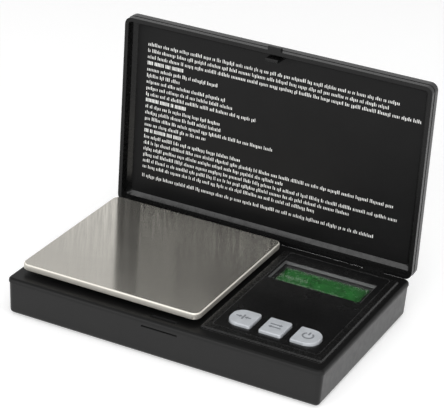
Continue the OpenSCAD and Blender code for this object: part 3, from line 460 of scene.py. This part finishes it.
for name in ("bottom_case", "top_deck", "battery_door", "platform",
             "key_tare", "key_mode", "key_power"):
    soften(nodes[name], 0.12 * MM)
soften(nodes["lid"], 0.12 * MM, 15)
for name in ("control_panel", "case_screws", "load_cell_screws", "rubber_feet", "plate_contact"):
    soften(nodes[name], 0.06 * MM)


# Pieces of the scene's own
lathe_sides, tube_sides = 48, 10


def new_piece(name, bm, stuff, body):
    """An object from a mesh under construction, with its materials and body."""
    bmesh.ops.recalc_face_normals(bm, faces=bm.faces)
    mesh = bpy.data.meshes.new(name)
    bm.to_mesh(mesh)
    bm.free()
    for material in stuff:
        mesh.materials.append(material)
    mesh.shade_smooth()
    mesh.set_sharp_from_angle(angle=math.radians(30))
    piece = bpy.data.objects.new(name, mesh)
    bpy.context.scene.collection.objects.link(piece)
    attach(piece, body)
    return piece


def add_rings(bm, rings, closed=False, indices=None):
    """Skins rings of points in turn; a ring of one point is a tip. An index is a material's."""
    made = [[bm.verts.new(point) for point in ring] for ring in rings]
    pairs = list(zip(made, made[1:] + made[:1] if closed else made[1:]))
    for i, (first, second) in enumerate(pairs):
        count = max(len(first), len(second))
        for k in range(count):
            corners = [first[k % len(first)], first[(k + 1) % len(first)],
                       second[(k + 1) % len(second)], second[k % len(second)]]
            face = bm.faces.new(list(dict.fromkeys(corners)))
            face.material_index = indices[i] if indices else 0
    if not closed:
        for ring in (made[0], made[-1]):
            if len(ring) > 2:
                bm.faces.new(ring)


def add_block(bm, low, high):
    """A closed box between two corners."""
    square = ((0, 0), (1, 0), (1, 1), (0, 1))
    corners = (low, high)
    add_rings(bm, [[Vector((corners[i].x, corners[j].y, corner.z)) for i, j in square]
                   for corner in corners])


def add_stroke(bm, points, width, z0, z1):
    """A flat closed ribbon of one width along (x, y) points."""
    rings = []
    for i, point in enumerate(points):
        along = points[min(i + 1, len(points) - 1)] - points[max(i - 1, 0)]
        across = Vector((-along.y, along.x)).normalized() * width / 2
        sides = [point + across * side for side in (1, -1)]
        rings.append([(*sides[0], z0), (*sides[1], z0), (*sides[1], z1), (*sides[0], z1)])
    add_rings(bm, rings)


def add_slab(bm, outline, z0, z1):
    """A closed prism on an outline of (x, y) points."""
    add_rings(bm, [[(*point, z) for point in outline] for z in (z0, z1)])


def add_lathe(bm, profile, place, indices):
    """A solid of revolution about the place's X from (x, radius) points."""
    turns = [math.tau * k / lathe_sides for k in range(lathe_sides)]
    rings = [[place @ Vector((x, r * math.cos(a), r * math.sin(a))) for a in (turns if r else (0,))]
             for x, r in profile]
    add_rings(bm, rings, indices=indices)


def add_tube(bm, points, radius):
    """A round bar along points."""
    rings = []
    side = None
    for i, point in enumerate(points):
        along = (points[min(i + 1, len(points) - 1)] - points[max(i - 1, 0)]).normalized()
        side = along.orthogonal() if side is None else side - along * side.dot(along)
        side.normalize()
        up = along.cross(side)
        rings.append([point + radius * (math.cos(a) * side + math.sin(a) * up)
                      for a in (math.tau * k / tube_sides for k in range(tube_sides))])
    add_rings(bm, rings)


# Print in the lid: rows of plain marks, the size of small type, that stand for a text
film_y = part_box("lid_label")[0].y
ink_t = 0.03 * MM
print_left, print_top, print_width = -55.6 * MM, 81.0 * MM, 113 * MM
row_pitch, closing_gap = 2.6 * MM, 1.4 * MM
mark_h, tall_h, drop_h = 1.0 * MM, 1.45 * MM, 0.35 * MM
thinnest, widest, bold_factor = 0.2 * MM, 0.38 * MM, 1.35
mark_gap, bold_gap, group_gap = 0.36 * MM, 0.22 * MM, 0.55 * MM
fewest, most = 2, 9
tall_share, drop_share = 0.28, 0.1
# Each paragraph has a bold row or none, and rows whose widths are shares of the print's
paragraphs = (
    (False, (0.93, 0.9, 1.0)),
    (True, (0.28, 0.11, 0.3, 0.34, 0.43)),
    (True, (0.27, 0.3, 0.5, 0.24)),
    (True, (0.36, 0.94, 0.55, 0.97, 0.78, 0.66)),
)
heading_row, closing_row = 0.13, 0.86


def add_row(bm, base, width, bold):
    """Marks in groups, some tall and a few that drop below the row's base."""
    x, end = print_left, print_left + width
    while x < end:
        for _ in range(random.randint(fewest, most)):
            mark_w = random.uniform(thinnest, widest) * (bold_factor if bold else 1)
            kind = random.random()
            top = tall_h if bold or kind < tall_share else mark_h
            foot = drop_h if kind > 1 - drop_share and not bold else 0
            add_block(bm, Vector((x, film_y - ink_t, base - foot)),
                      Vector((x + mark_w, film_y + ink_t, base + top)))
            x += mark_w + (bold_gap if bold else mark_gap)
        x += group_gap


bm = bmesh.new()
row_z = print_top
for headed, widths in paragraphs:
    if headed:
        add_row(bm, row_z, heading_row * print_width, True)
        row_z -= row_pitch
    for share in widths:
        add_row(bm, row_z, share * print_width, False)
        row_z -= row_pitch
add_row(bm, row_z - closing_gap, closing_row * print_width, False)
new_piece("lid_print", bm, [white_ink], "lid")

# Symbols on the keys, in the middle of each, raised a little, with painted shade for their colour
symbol_line, symbol_t = 0.62 * MM, 0.1 * MM
head_len, head_half = 1.1 * MM, 0.85 * MM
tare_bar, tare_tail, tare_tip = 1.7 * MM, 2.9 * MM, 0.45 * MM
mode_half, mode_rise = 2.4 * MM, 1.0 * MM
power_r, power_foot, power_top = 1.95 * MM, 0.5 * MM, 2.5 * MM
power_start, power_end, power_steps = math.radians(125), math.radians(415), 24


def arrow(bm, tail, tip, z0, z1):
    """A line with a head, from its tail to its tip."""
    along = (tip - tail).normalized()
    across = Vector((-along.y, along.x))
    neck = tip - along * head_len
    add_stroke(bm, [tail, neck], symbol_line, z0, z1)
    add_slab(bm, [neck + across * head_half, neck - across * head_half, tip], z0, z1)


def key_symbol(key, body, draw):
    """A key's symbol, a little sunk in its top."""
    low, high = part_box(key)
    middle = Vector(((low.x + high.x) / 2, (low.y + high.y) / 2))
    bm = bmesh.new()
    draw(bm, middle, high.z - symbol_t / 2, high.z + symbol_t)
    new_piece(key + "_symbol", bm, [legend_painted_shade], body)


def tare_symbol(bm, middle, z0, z1):
    """Two arrows that meet at an upright bar."""
    add_stroke(bm, [middle + Vector((0, y)) for y in (-tare_bar, tare_bar)], symbol_line, z0, z1)
    for side in (-1, 1):
        arrow(bm, middle + Vector((side * tare_tail, 0)), middle + Vector((side * tare_tip, 0)), z0, z1)


def mode_symbol(bm, middle, z0, z1):
    """Two arrows that pass each other."""
    for side in (-1, 1):
        arrow(bm, middle + Vector((-side * mode_half, side * mode_rise)),
              middle + Vector((side * mode_half, side * mode_rise)), z0, z1)


def power_symbol(bm, middle, z0, z1):
    """A ring open at the top, with a bar through the gap."""
    sweep = power_end - power_start
    turns = [power_start + sweep * i / power_steps for i in range(power_steps + 1)]
    ring = [middle + Vector((math.cos(a), math.sin(a))) * power_r for a in turns]
    add_stroke(bm, ring, symbol_line, z0, z1)
    add_stroke(bm, [middle + Vector((0, y)) for y in (power_foot, power_top)], symbol_line, z0, z1)


key_symbol("key_tare", "key_tare_body", tare_symbol)
key_symbol("key_mode", "key_mode_body", mode_symbol)
key_symbol("key_power", "key_power_body", power_symbol)

# Grey paint on the wall of the display opening, and a black ring between the lens and the glass:
# painted shade, where the opening's rim shadows the glass
lens_low, lens_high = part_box("lcd_window")
panel_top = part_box("control_panel")[1].z
# How far the lens reaches under the opening's rim, and the painted shade into the opening
lens_lap, shade_reach = 1.2 * MM, 1.7 * MM
wall_t, wall_drop = 0.12 * MM, 0.3 * MM
hair = 0.01 * MM


def rectangle(low, high, inset=0.0):
    """Corners of a level rectangle, inset from those of a box."""
    x0, y0, x1, y1 = low.x + inset, low.y + inset, high.x - inset, high.y - inset
    return [(x0, y0), (x1, y0), (x1, y1), (x0, y1)]


def add_frame(bm, low, high, width, z0, z1):
    """A rectangular ring between two outer corners."""
    outer, inner = rectangle(low, high), rectangle(low, high, width)
    add_rings(bm, [[(*point, z) for point in outline]
                   for outline, z in ((outer, z0), (outer, z1), (inner, z1), (inner, z0))], closed=True)


lap = Vector((lens_lap + hair, lens_lap + hair, 0))
bm = bmesh.new()
add_frame(bm, lens_low + lap, lens_high - lap, wall_t, lens_high.z + hair, panel_top - wall_drop)
new_piece("display_wall", bm, [wall_paint], "base")

# Painted shade: a black ring under the lens that darkens the border of the glass
bm = bmesh.new()
add_frame(bm, lens_low, lens_high, lens_lap + shade_reach,
          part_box("lcd_glass")[1].z + hair, lens_low.z - hair)
new_piece("display_shade_ring", bm, [painted_shade_ring], "base")

# Cells, with crimped ends and a printed band
cell_low, cell_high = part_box("battery_cells")
cell_z = (cell_low.z + cell_high.z) / 2
cell_r = (cell_high.z - cell_low.z) / 2
cell_y = (cell_low.y + cell_r, cell_high.y - cell_r)
cell_len = 44.5 * MM
# Distance along the cell and radius in mm, from the flat end to the button
cell_profile = (
    (0.12, 0), (0.12, 4.2), (0.0, 4.4), (0.0, 4.85), (0.3, 5.2), (0.7, 5.25), (33.5, 5.25),
    (43.0, 5.25), (43.5, 5.15), (43.7, 4.8), (43.6, 4.3), (43.35, 4.2), (43.35, 2.1),
    (43.5, 1.9), (44.3, 1.88), (44.5, 1.65), (44.5, 0),
)
wrap, band, cap, ring = range(4)
cell_parts = (cap, *[wrap] * 5, *[band] * 4, ring, ring, *[cap] * 4)
bm = bmesh.new()
for x, y, turn in ((cell_low.x + cell_len, cell_y[0], math.pi), (cell_high.x - cell_len, cell_y[1], 0)):
    place = Matrix.Translation((x, y, cell_z)) @ Matrix.Rotation(turn, 4, "Z")
    add_lathe(bm, [(a * MM, r * MM) for a, r in cell_profile], place, cell_parts)
cells = new_piece("cells", bm, [cell_wrap, cell_band, steel, insulator], "base")
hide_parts("battery_cells")

# Contacts: a plate with a spring on it, wound smaller towards the cell
wire_r, coil_r, tip_r = 0.25 * MM, 3 * MM, 2 * MM
coils, coil_steps = 4, 20
plate_t, plate_side = 0.3 * MM, 3.2 * MM
# How far a spring's wire stands off its plate, and half the section of the tongue to the wire
wire_seat = 0.8 * wire_r
tail = Vector((0, 0.9, 0.2)) * MM


def add_spring(bm, start, tip, y):
    """A cone of wire along X between two places."""
    points = []
    for i in range(coils * coil_steps + 1):
        share, a = i / (coils * coil_steps), math.tau * i / coil_steps
        x, r = start + (tip - start) * share, coil_r + (tip_r - coil_r) * share
        points.append(Vector((x, y + r * math.cos(a), cell_z + r * math.sin(a))))
    add_tube(bm, points, wire_r)


low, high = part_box("link_contact")
bm = bmesh.new()
add_block(bm, low, Vector((low.x + plate_t, high.y, high.z)))
add_spring(bm, low.x + plate_t + wire_seat, high.x - wire_r, cell_y[1])
link = new_piece("link_plate", bm, [nickel], "base")
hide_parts("link_contact")

low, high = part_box("spring_contact")
plate_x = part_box("plate_contact")[0].x
tail_z = sum(corner.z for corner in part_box("battery_wires")) / 2
bm = bmesh.new()
add_block(bm, Vector((plate_x, low.y, low.z)),
          Vector((plate_x + plate_t, low.y + 2 * plate_side, high.z)))
add_block(bm, Vector((plate_x + plate_t - hair, cell_y[0], tail_z)) - tail,
          Vector((high.x, cell_y[0], tail_z)) + tail)
add_spring(bm, plate_x - wire_seat, low.x + wire_r, cell_y[0])
spring = new_piece("spring_plate", bm, [nickel], "base")
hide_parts("spring_contact")

# Stage: a plain pale floor, and white wherever the camera or a reflection looks past it
ambient = 0.42
floor_lift = 0.36
floor_side = 6


def seen_rays(tree):
    """1 for a ray from the camera, a reflection or a clear piece, else 0."""
    path = tree.nodes.new("ShaderNodeLightPath")
    seen = maths(tree, "MAXIMUM", path.outputs["Is Camera Ray"], path.outputs["Is Glossy Ray"])
    return maths(tree, "MAXIMUM", seen, path.outputs["Is Transmission Ray"])


bpy.ops.mesh.primitive_plane_add(size=floor_side, location=(0, 0, cad_low.z))
floor = bpy.context.object
floor.name = "floor"
floor_material, tree, shader = new_material("pale_floor")
shader.inputs["Base Color"].default_value = (0.8, 0.8, 0.8, 1)
shader.inputs["Roughness"].default_value = 0.9
shader.inputs["Specular IOR Level"].default_value = 0.1
shader.inputs["Emission Color"].default_value = (1, 1, 1, 1)
tree.links.new(spread(tree, seen_rays(tree), 0, floor_lift, 0, 1), shader.inputs["Emission Strength"])
floor.data.materials.append(floor_material)
floor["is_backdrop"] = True

world = bpy.data.worlds.new("studio")
bpy.context.scene.world = world
world.use_nodes = True
tree = world.node_tree
background = tree.nodes["Background"]
background.inputs["Color"].default_value = (1, 1, 1, 1)
tree.links.new(spread(tree, seen_rays(tree), ambient, 1, 0, 1), background.inputs["Strength"])


def softbox(name, place, width, height, level):
    """A soft lamp that shows white as level on a face square to it at the object."""
    way = -Vector(place)
    lamp = bpy.data.lights.new(name, "AREA")
    lamp.shape = "RECTANGLE"
    lamp.size, lamp.size_y = width, height
    lamp.energy = level * math.pi ** 2 * way.length_squared
    piece = bpy.data.objects.new(name, lamp)
    bpy.context.scene.collection.objects.link(piece)
    piece.location = place
    piece.rotation_euler = way.to_track_quat("-Z", "Y").to_euler()


softbox("top_box", (0.1, -0.1, 0.9), 0.9, 0.7, 0.3)
softbox("low_left_box", (-0.37, -0.88, 0.3), 0.5, 0.35, 0.26)
softbox("front_right_box", (0.32, -0.82, 0.5), 0.6, 0.5, 0.4)
softbox("right_box", (0.9, -0.2, 0.5), 0.6, 0.6, 0.2)

# Camera
camera_data = bpy.data.cameras.new("camera")
camera_data.sensor_fit = "HORIZONTAL"
camera_data.sensor_width = 36
camera_data.lens = camera_data.sensor_width * focal_px / image_w
camera_data.shift_x = (image_w / 2 - centre_px[0]) / image_w
camera_data.shift_y = (centre_px[1] - image_h / 2) / image_w
camera_data.clip_start = 0.01
camera = bpy.data.objects.new("camera", camera_data)
bpy.context.scene.collection.objects.link(camera)
forward = Vector((
    -math.sin(camera_azimuth) * math.cos(camera_elevation),
    math.cos(camera_azimuth) * math.cos(camera_elevation),
    -math.sin(camera_elevation),
))
level = Vector((math.cos(camera_azimuth), math.sin(camera_azimuth), 0))
right = math.cos(camera_roll) * level + math.sin(camera_roll) * level.cross(forward)
turned = Matrix((right, right.cross(forward), -forward)).transposed()
camera.matrix_world = Matrix.Translation(camera_place) @ turned.to_4x4()
bpy.context.scene.camera = camera

bpy.context.scene.view_settings.view_transform = "Standard"

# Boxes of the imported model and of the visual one
low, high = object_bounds()
